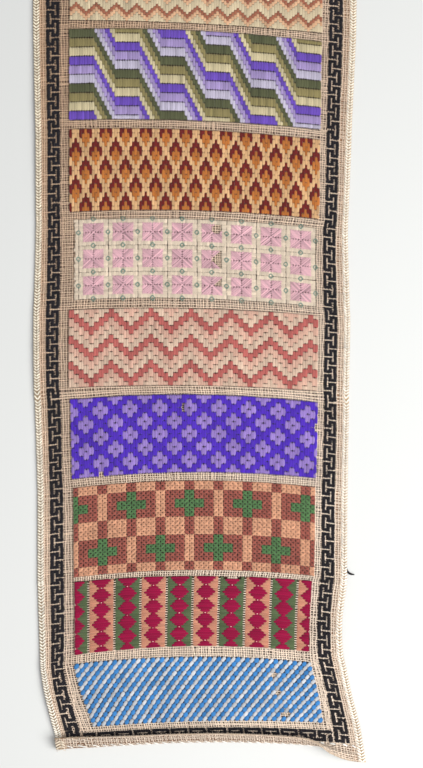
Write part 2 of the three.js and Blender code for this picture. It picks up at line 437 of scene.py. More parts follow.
def yarn(name, colour, plies=2.6, unevenness=0.09, sheen=0.25, foot=None):
    """A yarn's material: its dye, its twist and a soft bloom of fibres. Where a colour at the foot is
    given, painted light takes the yarn from its own colour at the top left of the cloth to that one at
    the foot and right, where the light comes from."""
    material = bpy.data.materials.new(name)
    material.use_nodes = True
    tree = material.node_tree
    shader = tree.nodes["Principled BSDF"]
    shader.inputs["Roughness"].default_value = 0.88
    shader.inputs["Specular IOR Level"].default_value = 0.18
    shader.inputs["Sheen Weight"].default_value = sheen
    shader.inputs["Sheen Roughness"].default_value = 0.55
    strand = tree.nodes.new("ShaderNodeGroup")
    strand.node_tree = STRAND
    strand.inputs["Colour"].default_value = srgb(*colour)
    strand.inputs["Plies per mm"].default_value = plies
    strand.inputs["Unevenness"].default_value = unevenness
    link(
        tree,
        (strand.outputs["Colour"], shader.inputs["Base Color"]),
        (strand.outputs["Normal"], shader.inputs["Normal"]),
    )
    if foot:
        lit_colour = lit_towards_foot(tree, colour, foot)
        link(tree, (lit_colour, strand.inputs["Colour"]))
    return material


# Painted light: where the lightening towards the foot and right begins and ends, and how it leans
# across the cloth.
LIT_START = 0.26
LIT_END = -0.22
LIT_LEAN = -1.6


def lit_towards_foot(tree, top, foot):
    """Painted light: a colour that goes from one at the cloth's top left to another at its foot and
    right, where the light comes from.
    """
    where = tree.nodes.new("ShaderNodeTexCoord")
    split = tree.nodes.new("ShaderNodeSeparateXYZ")
    link(tree, (where.outputs["Object"], split.inputs["Vector"]))
    down = sums(tree, "MULTIPLY_ADD", split.outputs["X"], LIT_LEAN, split.outputs["Y"])
    return mixed(tree, past(tree, down, LIT_START, LIT_END - LIT_START), top, foot)


# The sheet itself carries the holes between the threads, so its face is painted shadow, the dark
# of the shadow in them, paler in the doubled strip along each side, in the foot hem and under the
# plait. Its back is a plain weave above the foot hem, with painted shade in its holes. Its points
# and faces are numbered across, then up, then from back to face, so that every run numbers them
# alike.
GROUND_TOP = 0.34
HEM_BACK = 0.42
SHEET_COLUMNS = 42
BODY_STEPS = 120
HEM_STEPS = 34
DOUBLED = 5.0
NUMBERING = Vector((1.0, 200.0, 90000.0))

bm = bmesh.new()
bmesh.ops.create_grid(bm, x_segments=SHEET_COLUMNS, y_segments=BODY_STEPS + HEM_STEPS, size=0.5)
face_side = bmesh.ops.extrude_face_region(bm, geom=bm.faces[:])["geom"]
face_side = [v for v in face_side if isinstance(v, bmesh.types.BMVert)]
bmesh.ops.translate(bm, verts=face_side, vec=(0.0, 0.0, 1.0))
bmesh.ops.recalc_face_normals(bm, faces=bm.faces)
bm.verts.sort(key=lambda vert: vert.co.dot(NUMBERING))
bm.faces.sort(key=lambda face: face.calc_center_median().dot(NUMBERING))
sheet_mesh = bpy.data.meshes.new("canvas_sheet")
bm.to_mesh(sheet_mesh)
bm.free()

grid = np.array([v.co for v in sheet_mesh.vertices])
share = BODY_STEPS / (BODY_STEPS + HEM_STEPS)
sheet_column = (grid[:, 0] + 0.5) * CLOTH_WIDE
sheet_row = np.interp(0.5 - grid[:, 1], (0, share, 1), (0, FOOT_HEM, FOOT_EDGE))
is_face = grid[:, 2] > 0.5
sheet_height = np.where(is_face, GROUND_TOP, -HEM_BACK * hem_share(sheet_row))
sheet_points = on_cloth(sheet_column, sheet_row, sheet_height)
sheet_mesh.vertices.foreach_set("co", sheet_points.ravel())
sheet_mesh.polygons.foreach_set("use_smooth", np.ones(len(sheet_mesh.polygons), bool))
corner = np.empty(len(sheet_mesh.loops), int)
sheet_mesh.loops.foreach_get("vertex_index", corner)
thread_map = sheet_mesh.uv_layers.new(name="threads")
counted = np.stack([sheet_column, sheet_row], axis=1)[corner]
thread_map.data.foreach_set("uv", counted.astype(np.float32).ravel())
above_hem = sheet_row < FOOT_HEM + 0.5
on_back = []
for polygon in sheet_mesh.polygons:
    faces_up = all(is_face[v] for v in polygon.vertices)
    on_back.append(not faces_up and all(above_hem[v] for v in polygon.vertices))


def sheet_material(name, roughness):
    material = bpy.data.materials.new(name)
    material.use_nodes = True
    shader = material.node_tree.nodes["Principled BSDF"]
    shader.inputs["Roughness"].default_value = roughness
    shader.inputs["Specular IOR Level"].default_value = 0.1
    threads = material.node_tree.nodes.new("ShaderNodeUVMap")
    threads.uv_map = "threads"
    return material.node_tree, shader, threads


# Painted shadow: the face is the dark in the holes between the threads, mottled by a noise between two
# dark browns and paler in the hem, the doubled strip and under the plait; at the foot's cut edge it is
# cotton-coloured.
tree, shader, threads = sheet_material("canvas in shadow", 0.95)
shadow_mottle = tree.nodes.new("ShaderNodeTexNoise")
shadow_mottle.inputs["Scale"].default_value = 0.3
shadow_mottle.inputs["Detail"].default_value = 3.0
split = tree.nodes.new("ShaderNodeSeparateXYZ")
link(
    tree,
    (threads.outputs["UV"], shadow_mottle.inputs["Vector"]),
    (threads.outputs["UV"], split.inputs["Vector"]),
)
half_wide = CLOTH_WIDE / 2
from_middle = sums(tree, "ABSOLUTE", sums(tree, "SUBTRACT", split.outputs["X"], half_wide))
in_hem = past(tree, split.outputs["Y"], FOOT_HEM, 0.5)
at_edge = past(tree, split.outputs["Y"], FOOT_EDGE - 0.4, 0.2)
doubled = past(tree, from_middle, half_wide - DOUBLED, 0.3)
under_plait = past(tree, from_middle, half_wide - PLAIT_WIDE, 0.2)
shadow = mixed(tree, shadow_mottle.outputs["Fac"], (46, 30, 25), (80, 56, 46))
shadow = mixed(tree, in_hem, shadow, (122, 92, 72))
shadow = mixed(tree, at_edge, shadow, (206, 184, 160))
shadow = mixed(tree, doubled, shadow, (158, 124, 96))
shadow = mixed(tree, under_plait, shadow, (204, 180, 150))
link(tree, (shadow, shader.inputs["Base Color"]))
sheet_mesh.materials.append(bpy.data.materials["canvas in shadow"])

tree, shader, threads = sheet_material("canvas back", 0.9)
weave = tree.nodes.new("ShaderNodeTexChecker")
weave.inputs["Scale"].default_value = 1.0
weave.inputs["Color1"].default_value = srgb(176, 150, 128)
weave.inputs["Color2"].default_value = srgb(156, 130, 108)
holes = tree.nodes.new("ShaderNodeTexVoronoi")
holes.inputs["Scale"].default_value = 1.0
holes.inputs["Randomness"].default_value = 0.12
thread_height = past(tree, holes.outputs["Distance"], 0.24, 0.14)
bump = tree.nodes.new("ShaderNodeBump")
bump.inputs["Distance"].default_value = 0.0003
link(
    tree,
    (threads.outputs["UV"], weave.inputs["Vector"]),
    (threads.outputs["UV"], holes.inputs["Vector"]),
    (thread_height, bump.inputs["Height"]),
    (bump.outputs["Normal"], shader.inputs["Normal"]),
)
# Painted shade: the holes between the threads on the back are painted dark brown.
back_weave_and_hole_shade = mixed(tree, thread_height, (96, 70, 58), weave.outputs["Color"])
link(tree, (back_weave_and_hole_shade, shader.inputs["Base Color"]))
sheet_mesh.materials.append(bpy.data.materials["canvas back"])
sheet_mesh.polygons.foreach_set("material_index", np.array(on_back, np.int32))

canvas_sheet = bpy.data.objects.new("canvas_sheet", sheet_mesh)
scene.collection.objects.link(canvas_sheet)
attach(canvas_sheet, "root")
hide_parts("canvas")

# Canvas threads: the woven threads wherever the canvas is bare, each going over and under its
# neighbours, with one more between each two where the margins are pulled wide. Moths have eaten
# wool from a few places in the bands, where the threads show too.
THREAD_SHARE = 0.265
THREAD_MOST = 0.50
THREAD_DEEP = 0.30
WIDE_PITCH = 1.86
WEAVE_MIDDLE = 0.62
WEAVE_SWAY = 0.20
HEM_MIDDLE = -0.50

# First and last columns of a band that doesn't fill its width
BAND_SPAN = {"squares": (2, 100)}
PLAITED = 2

# Band, column and row within the band, and radius in threads
MOTH = (
    ("squares", 59.8, 3.8, 2.0),
    ("squares", 59.6, 18.0, 2.4),
    ("squares", 61.0, 28.5, 1.3),
    ("lattice", 12.1, 35.0, 1.3),
    ("lattice", 4.0, 9.0, 0.9),
    ("lattice", 45.0, 6.0, 0.8),
    ("lattice", 99.0, 12.0, 0.9),
    ("diamonds", 66.5, 0.5, 0.8),
    ("checks", 83.0, 7.0, 1.2),
    ("checks", 83.0, 15.0, 1.2),
    ("checks", 84.0, 25.0, 1.2),
)

bare = np.ones((CLOTH_WIDE, FOOT_EDGE), bool)
cell_column, cell_row = np.meshgrid(
    np.arange(CLOTH_WIDE) + 0.5, np.arange(FOOT_EDGE) + 0.5, indexing="ij"
)
for band, (top, bottom) in BANDS.items():
    first_column, last_column = BAND_SPAN.get(band, (0, BAND_WIDE))
    inside = (cell_column > BAND_LEFT + first_column) & (cell_column < BAND_LEFT + last_column)
    bare &= ~(inside & (cell_row > top) & (cell_row < bottom))
bare[:PLAITED] = False
bare[-PLAITED:] = False
for band, column, row, radius in MOTH:
    away = np.hypot(cell_column - BAND_LEFT - column, cell_row - BANDS[band][0] - row)
    bare |= away < radius + 1.6


def runs(line):
    """Starts and ends of the stretches of a line where it is true."""
    edges = np.flatnonzero(np.diff(np.concatenate(([0], line.astype(int), [0]))))
    return edges.reshape(-1, 2)


def tubes(name, paths, material, beside):
    """One mesh of many three-sided threads, as wide as a share of the way to the next thread beside
    them. A path gives columns, rows, heights, a tone and how thick."""
    points, faces, uvs, tones = [], [], [], []
    count = 0
    for columns, rows, heights, tone, thick in paths:
        place, facing = cloth(columns, rows)
        centre = place + facing * heights[:, None]
        along = np.gradient(centre, axis=0)
        across = np.cross(along, facing)
        across /= np.linalg.norm(across, axis=1, keepdims=True)
        up = np.cross(across, along)
        up /= np.linalg.norm(up, axis=1, keepdims=True)
        next_place, _ = cloth(columns + beside[0], rows + beside[1])
        pitch = np.linalg.norm(next_place - place, axis=1, keepdims=True) / max(beside)
        half = across * np.minimum(pitch * THREAD_SHARE, THREAD_MOST) * thick
        corners = np.stack([centre + half, centre + up * THREAD_DEEP * thick, centre - half], axis=1)
        rings = len(columns)
        points.append(corners.reshape(-1, 3))
        length = np.concatenate(([0], np.cumsum(np.linalg.norm(np.diff(centre, axis=0), axis=1))))
        map_u = np.repeat(length + tone * 41, 3)
        map_v = np.tile(np.array([-1.0, 0.0, 1.0]) * THREAD_DEEP, rings)
        uvs.append(np.stack([map_u, map_v], axis=1))
        tones.append(np.full(rings * 3, tone))
        first = count + 3 * np.arange(rings - 1)
        for side in range(3):
            after = (side + 1) % 3
            faces.extend(zip(first + side, first + 3 + side, first + 3 + after, first + after))
        last = count + 3 * (rings - 1)
        faces.append((count, count + 1, count + 2))
        faces.append((last + 2, last + 1, last))
        count += 3 * rings
    points, uvs, tones = (np.concatenate(parts) for parts in (points, uvs, tones))
    return finish_mesh(name, points, faces, uvs, tones, [material])


def finish_mesh(name, points, faces, uvs, tones, materials, material_index=None):
    """Makes a smooth piece from arrays, with its strand map and its tones, and puts it on the frame."""
    mesh = bpy.data.meshes.new(name)
    mesh.from_pydata((points * MM).tolist(), [], [tuple(int(k) for k in face) for face in faces])
    mesh.polygons.foreach_set("use_smooth", np.ones(len(mesh.polygons), bool))
    corner = np.empty(len(mesh.loops), int)
    mesh.loops.foreach_get("vertex_index", corner)
    strand = mesh.uv_layers.new(name="strand")
    strand.data.foreach_set("uv", uvs[corner].astype(np.float32).ravel())
    tone = mesh.attributes.new("tone", "FLOAT", "POINT")
    tone.data.foreach_set("value", tones.astype(np.float32))
    for material in materials:
        mesh.materials.append(material)
    if material_index is not None:
        mesh.polygons.foreach_set("material_index", np.asarray(material_index, np.int32))
    mesh.update()
    piece = bpy.data.objects.new(name, mesh)
    scene.collection.objects.link(piece)
    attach(piece, "root")
    return piece


def wander(draw, along):
    """A yarn's slow drift from its straight line, in threads."""
    drift = 0
    for wave in (9.0, 23.0, 61.0):
        drift = drift + draw.normal(0, 0.08) * np.sin(2 * np.pi * along / wave + draw.uniform(0, 6.28))
    return drift


def thread_paths(draw, lines, is_warp, middle, sway, aside=0.0, thin=1.0):
    """Paths of threads along the true stretches of each line, aside from it by a share of the way
    to the next."""
    paths = []
    for line in range(len(lines)):
        drift = draw.normal(aside, 0.07)
        tone = draw.normal(0, 1)
        thick = draw.uniform(0.88, 1.12) * thin
        for start, end in runs(lines[line]):
            along = np.concatenate(([start - 0.1], np.arange(start, end) + 0.5, [end + 0.1]))
            side = np.full_like(along, line + 0.5 + drift) + wander(draw, along)
            over = np.where((np.floor(along) + line + is_warp) % 2 == 0, 1.0, -1.0)
            over[0] = 0
            over[-1] = 0
            heights = middle + sway * over
            columns, rows = (side, along) if is_warp else (along, side)
            rows = np.clip(rows, 0.05, FOOT_EDGE - 0.05)
            columns = np.clip(columns, 0.3, CLOTH_WIDE - 0.3)
            paths.append((columns, rows, heights, tone, thick))
    return paths


hem_cotton = yarn("hem cotton", (230, 211, 192), 3.4, 0.12, 0.1)
# The canvas cotton is painted lighter towards the foot and right, as painted light.
cotton = yarn("canvas cotton", (211, 179, 150), 3.4, 0.10, 0.1, foot=(251, 231, 211))
hem = np.zeros_like(bare)
hem[:, FOOT_HEM + 1 :] = True
hem_face = bare & hem
bare &= ~hem
draw = np.random.default_rng(11)
warp = thread_paths(draw, bare, 1, WEAVE_MIDDLE, WEAVE_SWAY)
crossings, _ = cloth(cell_column, cell_row)
spacing = np.linalg.norm(np.diff(crossings, axis=0), axis=2)
pulled_wide = bare[:-1] & bare[1:] & (spacing > WIDE_PITCH)
warp += thread_paths(draw, pulled_wide, 1, WEAVE_MIDDLE, WEAVE_SWAY, 0.5, 0.55)
weft = thread_paths(draw, bare.T, 0, WEAVE_MIDDLE, WEAVE_SWAY)
hem_warp = thread_paths(draw, hem, 1, HEM_MIDDLE, WEAVE_SWAY)
hem_warp += thread_paths(draw, hem_face, 1, WEAVE_MIDDLE, WEAVE_SWAY)
hem_weft = thread_paths(draw, hem.T, 0, HEM_MIDDLE, WEAVE_SWAY)
hem_weft += thread_paths(draw, hem_face.T, 0, WEAVE_MIDDLE, WEAVE_SWAY)
warp_threads = tubes("warp_threads", warp, cotton, (0.2, 0))
weft_threads = tubes("weft_threads", weft, cotton, (0, 0.2))
hem_warp_threads = tubes("hem_warp_threads", hem_warp, hem_cotton, (0.2, 0))
hem_weft_threads = tubes("hem_weft_threads", hem_weft, hem_cotton, (0, 0.2))

# Wool bands: soft two-ply wool in straight, crossed and slanting stitches, each a plump bar that
# dives into a hole of the canvas at both ends. Patterns are counted out in threads, from a
# band's top left, and moths have eaten a few stitches.
ACROSS = np.array([-1.0, -0.78, 0.0, 0.78, 1.0])
CROWN = np.array([0.76, 0.95, 1.0, 0.95, 0.76])
SIDES_OF_BAR = len(ACROSS)
END_RING = 0.05
END_HEIGHT = 0.9
DIVE = 0.3


def sew(name, yarns, stitches, seed, side=1, astray=0.045, ends_only=False):
    """Joins stitches into one piece. Each is a yarn, the two holes it goes into as column and row,
    and in millimetres its half-width, its height, the height in the cloth that it lies on and the
    length over which it narrows to a share of its width, the tip, at each end. With ends only, it
    is as narrow as its tip all along."""
    draw = np.random.default_rng(seed)
    kinds = {kind: k for k, kind in enumerate(yarns)}
    colour = np.array([kinds[stitch[0]] for stitch in stitches])
    ends = np.array([stitch[1:5] for stitch in stitches], float)
    wide, tall, floor, taper, tip = np.array([stitch[5:10] for stitch in stitches], float).T
    number = len(stitches)
    ends += draw.normal(0, astray, ends.shape)
    wide *= draw.uniform(0.94, 1.06, number)
    tall *= draw.uniform(0.9, 1.1, number)
    tone = draw.normal(0, 1, number)
    start, facing = cloth(ends[:, 0], ends[:, 1])
    finish, _ = cloth(ends[:, 2], ends[:, 3])
    facing = facing * side
    run = finish - start
    length = np.linalg.norm(run, axis=1)
    across = np.cross(run, facing)
    across /= np.linalg.norm(across, axis=1, keepdims=True)
    near = END_RING / length
    full = np.clip(taper / length, 0.06, 0.42)
    if ends_only:
        stations = [(full, tip, 0.9), (1 - full, tip, 0.9)]
    else:
        whole = np.ones(number)
        stations = [(near, tip, END_HEIGHT), (full, whole, 1.0)]
        stations += [(1 - full, whole, 1.0), (1 - near, tip, END_HEIGHT)]
    rings = len(stations)
    per = rings * SIDES_OF_BAR + 2
    points = np.empty((number, per, 3))
    uvs = np.empty((number, per, 2))
    points[:, 0] = start + facing * (floor + DIVE * tall)[:, None]
    points[:, -1] = finish + facing * (floor + DIVE * tall)[:, None]
    uvs[:, 0] = 0
    uvs[:, -1] = np.stack([length, np.zeros(number)], axis=1)
    for k, (u, width, height) in enumerate(stations):
        spot = ends[:, :2] + (ends[:, 2:] - ends[:, :2]) * u[:, None]
        centre, look = cloth(spot[:, 0], spot[:, 1])
        look = look * side
        for j in range(SIDES_OF_BAR):
            n = 1 + k * SIDES_OF_BAR + j
            offset = across * (wide * width * ACROSS[j])[:, None]
            raised = look * (floor + tall * height * CROWN[j])[:, None]
            points[:, n] = centre + offset + raised
            uvs[:, n] = np.stack([u * length, wide * ACROSS[j]], axis=1)
    uvs += draw.uniform(0, 60, (number, 1, 2))
    pattern = []
    last = 1 + (rings - 1) * SIDES_OF_BAR
    for j in range(SIDES_OF_BAR):
        after = (j + 1) % SIDES_OF_BAR
        pattern.append((0, 1 + after, 1 + j))
        pattern.append((per - 1, last + j, last + after))
        for k in range(rings - 1):
            low = 1 + k * SIDES_OF_BAR
            pattern.append((low + j, low + after, low + SIDES_OF_BAR + after, low + SIDES_OF_BAR + j))
    faces = [tuple(v + per * n for v in face) for n in range(number) for face in pattern]
    piece = finish_mesh(
        name,
        points.reshape(-1, 3),
        faces,
        uvs.reshape(-1, 2),
        np.repeat(tone, per),
        list(yarns.values()),
        np.repeat(colour, len(pattern)),
    )
    return piece


def eaten(band, column, row):
    for place, hole_column, hole_row, radius in MOTH:
        if place == band and np.hypot(column - hole_column, row - hole_row) < radius:
            return True
    return False


BAR_WIDE = 0.9
BAR_TALL = 0.95
BAR_FLOOR = 0.88
BAR_TAPER = 0.6
BAR_TIP = 0.3


def worked(
    band, marks, wide=BAR_WIDE, tall=BAR_TALL, floor=BAR_FLOOR, taper=BAR_TAPER, tip=BAR_TIP, reach=0.0
):
    """Puts a band's marks, as yarn and two points within it, on the cloth, less what moths ate.
    Each end goes on past its point by the reach, in threads."""
    top = BANDS[band][0]
    stitches = []
    for kind, column, row, end_column, end_row in marks:
        if eaten(band, (column + end_column) / 2, (row + end_row) / 2):
            continue
        share = reach / np.hypot(end_column - column, end_row - row)
        more = ((end_column - column) * share, (end_row - row) * share)
        start = (BAND_LEFT + column - more[0], top + row - more[1])
        end = (BAND_LEFT + end_column + more[0], top + end_row + more[1])
        stitches.append((kind, *start, *end, wide, tall, floor, taper, tip))
    return stitches


def bars(band, column, first, colours, length=4):
    """Upright stitches down one column, from a first row on, in repeating colours."""
    top, bottom = BANDS[band]
    tall = bottom - top
    lengths = length if isinstance(length, tuple) else (length,) * len(colours)
    period = sum(lengths)
    row = first - period * (first // period + 1)
    marks = []
    k = 0
    while row < tall:
        end = row + lengths[k % len(colours)]
        low = max(row, 0)
        high = min(end, tall)
        if high - low >= 1:
            marks.append((colours[k % len(colours)], column + 0.5, low, column + 0.5, high))
        row = end
        k += 1
    return marks


# Zigzag band: fine brown and peach points on cream, one row lower or higher with each column, in
# upright wool stitches over two and four threads.
zigzag_yarns = {
    "brown": yarn("wool russet", (160, 100, 76)),
    "peach": yarn("wool pale apricot", (216, 172, 136)),
    "cream": yarn("wool ecru", (208, 190, 158)),
}
POINT_TALL = 4
POINT_SHIFT = 2
marks = []
for c in range(BAND_WIDE):
    below_point = abs((c - POINT_SHIFT) % (2 * POINT_TALL) - POINT_TALL)
    marks += bars("zigzag", c, POINT_TALL - below_point, tuple(zigzag_yarns), (2, 2, 4))
zigzag = sew("zigzag_band", zigzag_yarns, worked("zigzag", marks, taper=0.4, tip=0.5), 21)

# Steps band: six shades in flat treads of ten columns and steep risers of eight, in upright wool
# stitches over four threads.
steps_yarns = {
    "green": yarn("wool bottle green", (84, 87, 60)),
    "olive": yarn("wool olive", (138, 127, 84)),
    "cream": yarn("wool straw", (198, 185, 149)),
    "purple": yarn("wool purple", (104, 74, 177)),
    "lilac": yarn("wool lilac", (158, 140, 189)),
    "pale": yarn("wool pale lilac", (186, 179, 199)),
}
TREAD = 10
RISER = 8
RISER_DROP = 2
marks = []
for c in range(BAND_WIDE):
    step, place = divmod(c, TREAD + RISER)
    drops = step * (RISER + 1) + max(place - TREAD + 1, 0)
    marks += bars("steps", c, RISER_DROP * drops, tuple(steps_yarns))
steps = sew("steps_band", steps_yarns, worked("steps", marks, taper=0.8, tip=0.18, reach=0.06), 22)

# Flames band: amber flames under maroon hoods on gold, each row set between those above, in
# upright wool stitches over four threads.
flames_yarns = {
    "maroon": yarn("wool maroon", (106, 27, 24)),
    "amber": yarn("wool amber", (180, 108, 48)),
    "gold": yarn("wool pale gold", (210, 167, 121)),
}
# For a column of the repeat: the row where a maroon stitch begins, and the colours down from it
HOODS = {
    2: (4, ("maroon", "amber", "amber", "gold")),
    6: (12, ("maroon", "amber", "amber", "gold")),
    1: (6, ("maroon", "amber", "gold", "gold")),
    3: (6, ("maroon", "amber", "gold", "gold")),
    5: (14, ("maroon", "amber", "gold", "gold")),
    7: (14, ("maroon", "amber", "gold", "gold")),
    0: (0, ("maroon", "gold", "maroon", "gold")),
    4: (0, ("maroon", "gold", "maroon", "gold")),
}
marks = []
for c in range(BAND_WIDE):
    first, colours = HOODS[c % len(HOODS)]
    marks += bars("flames", c, first, colours)
flames = sew("flames_band", flames_yarns, worked("flames", marks, taper=0.7, tip=0.25, reach=0.04), 23)

# Squares band: pink cushion squares of four slanting quarters in cream frames, with a small
# teal diamond sewn over the middle of every side.
squares_yarns = {
    "cream": yarn("wool cream", (214, 197, 176)),
    "pink": yarn("wool rose pink", (215, 170, 179), unevenness=0.12),
    "teal": yarn("silk teal", (64, 126, 116)),
}
TILE = 12
TILES_ACROSS = 8
TILES_DOWN = 3
TILES_LEFT = 3.5
FRAME_WIDE = 1.75
FRAME_LEAN = 0.1
FRAME_TUCK = 0.35
TILE_GROOVE = 0.66
QUARTER = TILE / 2 - FRAME_WIDE
SLANTS = 8
HEART = 0.6
RAGGED_END = (1.4, 2.2)
TEAL_ACROSS = 0.92
TEAL_DOWN = 1.1


def slants(kind, left, top, size, rising):
    """Slanting stitches that fill a square, short at two corners and long between them."""
    out = []
    for k in range(1, SLANTS):
        reach = 2 * size * k / SLANTS
        low = max(0, reach - size)
        high = min(reach, size)
        if rising:
            out.append((kind, left + low, top + high, left + high, top + low))
        else:
            out.append((kind, left + size - low, top + high, left + size - high, top + low))
    return out


draw = np.random.default_rng(34)
pink_marks, cream_marks, teal_marks = [], [], []
for i in range(TILES_ACROSS):
    for j in range(TILES_DOWN):
        left = TILES_LEFT + TILE * i
        top = TILE * j
        near = FRAME_WIDE
        mid = FRAME_WIDE + QUARTER
        quarters = ((near, near, False), (mid, near, True), (near, mid, True), (mid, mid, False))
        for across, down, rising in quarters:
            pink_marks += slants("pink", left + across, top + down, QUARTER, rising)
        column, row = left + TILE / 2, top + TILE / 2
        pink_marks.append(("pink", column - HEART, row + HEART, column + HEART, row - HEART))
        foot = top + TILE
        right = left + TILE
        reach = FRAME_WIDE + FRAME_TUCK
        for k in range(TILE):
            column = left + TILE_GROOVE + (TILE - 2 * TILE_GROOVE) * k / (TILE - 1)
            cream_marks.append(("cream", column, top + reach, column + FRAME_LEAN, top))
            cream_marks.append(("cream", column, foot, column + FRAME_LEAN, foot - reach))
        for k in range(2, TILE - 2):
            row = top + k + 0.5
            cream_marks.append(("cream", left, row + FRAME_LEAN, left + reach, row))
            cream_marks.append(("cream", right - reach, row + FRAME_LEAN, right, row))
for row in range(TILES_DOWN * TILE):
    ragged = draw.uniform(*RAGGED_END)
    cream_marks.append(("cream", ragged, row + 0.7, TILES_LEFT, row + 0.4))
for i in range(TILES_ACROSS + 1):
    for j in range(TILES_DOWN + 1):
        left = TILES_LEFT + TILE * i
        top = TILE * j
        spots = []
        if i < TILES_ACROSS:
            spots.append((left + TILE / 2, top))
        if j < TILES_DOWN:
            spots.append((left, top + TILE / 2))
        for column, row in spots:
            turns = [(0, -TEAL_DOWN), (TEAL_ACROSS, 0), (0, TEAL_DOWN), (-TEAL_ACROSS, 0)]
            for a, b in zip(turns, turns[1:] + turns[:1]):
                teal_marks.append(("teal", column + a[0], row + a[1], column + b[0], row + b[1]))
stitches = worked("squares", cream_marks, wide=0.86, tall=0.6, floor=1.0, taper=0.4, tip=0.62)
stitches += worked("squares", pink_marks, wide=0.53, tall=0.8, floor=1.0, taper=0.7, tip=0.56)
stitches += worked("squares", teal_marks, wide=0.22, tall=0.35, floor=1.6, taper=0.3, tip=0.5)
squares = sew("squares_band", squares_yarns, stitches, 24)

# Chevron band: bold points in red, blush and pale peach, two columns to a step, in upright wool
# stitches over four threads.
chevron_yarns = {
    "red": yarn("wool brick red", (176, 94, 88)),
    "blush": yarn("wool blush", (206, 165, 146)),
    "peach": yarn("wool pale peach", (206, 178, 157)),
}
CHEVRON_STEP = 2
CHEVRON_STEPS = 8
marks = []
for c in range(BAND_WIDE):
    step = (c // CHEVRON_STEP) % CHEVRON_STEPS
    fall = CHEVRON_STEP * min(step, CHEVRON_STEPS - step)
    marks += bars("chevron", c, fall, tuple(chevron_yarns))
chevron = sew("chevron_band", chevron_yarns, worked("chevron", marks), 25)

# Lattice band: lilac four-petalled spots on violet, each row set between those above, in upright
# wool stitches over four threads, with the lilac a little prouder.
lattice_yarns = {
    "violet": yarn("wool violet", (74, 39, 176)),
    "lilac": yarn("wool soft lilac", (144, 119, 190)),
}
# For a step of two columns: the row where a lilac stitch begins, and the colours down from it
PETALS = {
    0: (2, ("lilac", "lilac", "violet")),
    1: (4, ("lilac", "violet", "violet")),
    2: (10, ("lilac", "violet", "violet")),
    3: (8, ("lilac", "lilac", "violet")),
    4: (10, ("lilac", "violet", "violet")),
    5: (4, ("lilac", "violet", "violet")),
}
VIOLET_REACH = 0.1
marks = []
for c in range(BAND_WIDE):
    first, colours = PETALS[((c + 1) // 2) % len(PETALS)]
    marks += bars("lattice", c, first, colours)
lilac_marks = [mark for mark in marks if mark[0] == "lilac"]
violet_marks = []
for kind, column, row, end_column, end_row in marks:
    if kind == "violet":
        violet_marks.append((kind, column, row - VIOLET_REACH, end_column, end_row + VIOLET_REACH))
stitches = worked("lattice", violet_marks, taper=0.8, tip=0.3)
stitches += worked("lattice", lilac_marks, wide=0.98, tall=1.02, taper=1.1, tip=0.3)
lattice = sew("lattice_band", lattice_yarns, stitches, 26)

# Crosses band: cross stitch over two threads, green plus signs on brown between peach bars. Each
# cross is two bars of wool, one sewn over the other.
crosses_yarns = {
    "brown": yarn("wool chestnut", (147, 79, 67)),
    "peach": yarn("wool apricot", (202, 147, 116)),
    "green": yarn("wool leaf green", (76, 113, 68)),
}


def cross_colour(c, r):
    """The yarn of one cross, counted in crosses from the band's top left."""
    if r < 2 or 8 <= r < 12 or r >= 18:
        return "brown" if c % 6 in (0, 5) else "peach"
    shift, inner = (0, r - 2) if r < 8 else (6, r - 12)
    place = (c + shift) % 12
    if place in (11, 0) or (inner in (2, 3) and place in (9, 10, 1, 2)):
        return "green"
    return "peach" if place in (5, 6) else "brown"


CROSS = 2
CROSS_ROWS = 20
under, over = [], []
for c in range(BAND_WIDE // CROSS):
    for r in range(CROSS_ROWS):
        kind = cross_colour(c, r)
        left, right = CROSS * c, CROSS * (c + 1)
        top, foot = CROSS * r, CROSS * (r + 1)
        under.append((kind, left, top, right, foot))
        over.append((kind, left, foot, right, top))
stitches = []
for shade, plump in (("brown", 1.0), ("green", 1.0), ("peach", 1.16)):
    low = [mark for mark in under if mark[0] == shade]
    high = [mark for mark in over if mark[0] == shade]
    stitches += worked("crosses", low, wide=0.72 * plump, tall=0.9, floor=0.88, taper=0.9, tip=0.35)
    stitches += worked("crosses", high, wide=0.6 * plump, tall=0.85, floor=0.98, taper=0.9, tip=0.35)
crosses = sew("crosses_band", crosses_yarns, stitches, 27)

